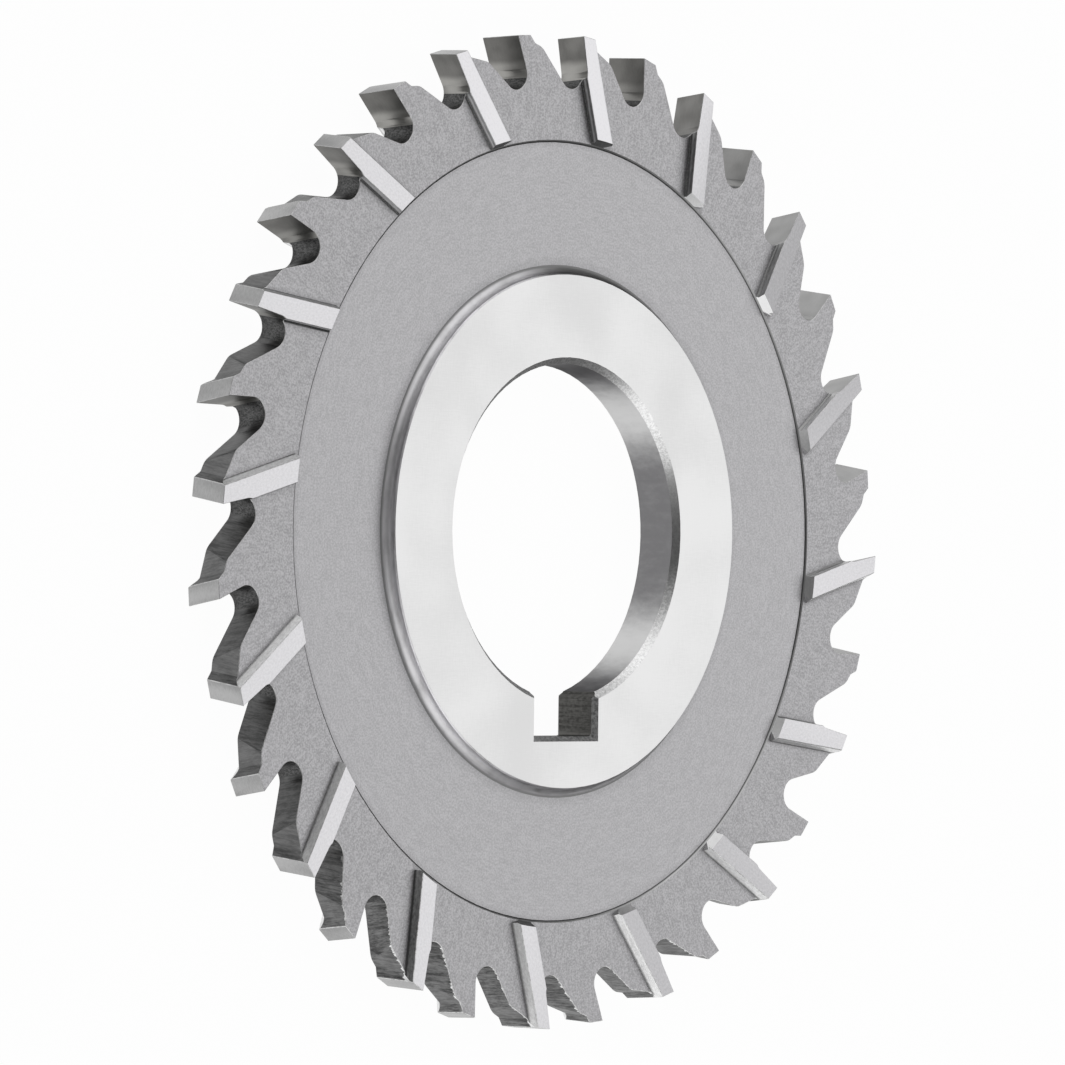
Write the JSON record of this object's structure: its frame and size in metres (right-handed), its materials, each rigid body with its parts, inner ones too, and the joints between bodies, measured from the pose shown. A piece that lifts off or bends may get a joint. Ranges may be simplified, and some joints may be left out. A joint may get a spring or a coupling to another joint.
{
  "type": "side and face milling cutter",
  "caption": "Disc milling cutter with a keyed bore, raised hub and rim teeth that lean alternately to either side, each with a bright side land on the face it cuts.",
  "frame": {"origin": "centre of the bore in the plane of the lower hub face", "axes": "+Z along the bore axis, out of the upper hub face; the keyway points to -Y; seen from +Z the cutter turns counter-clockwise"},
  "size_m": [0.08, 0.08, 0.0043],
  "materials": {
    "cutter": "satin high-speed steel with fine-ground hub faces and side lands"
  },
  "bodies": {
    "root": {"cutter": "cutter"}
  },
  "joints": []
}
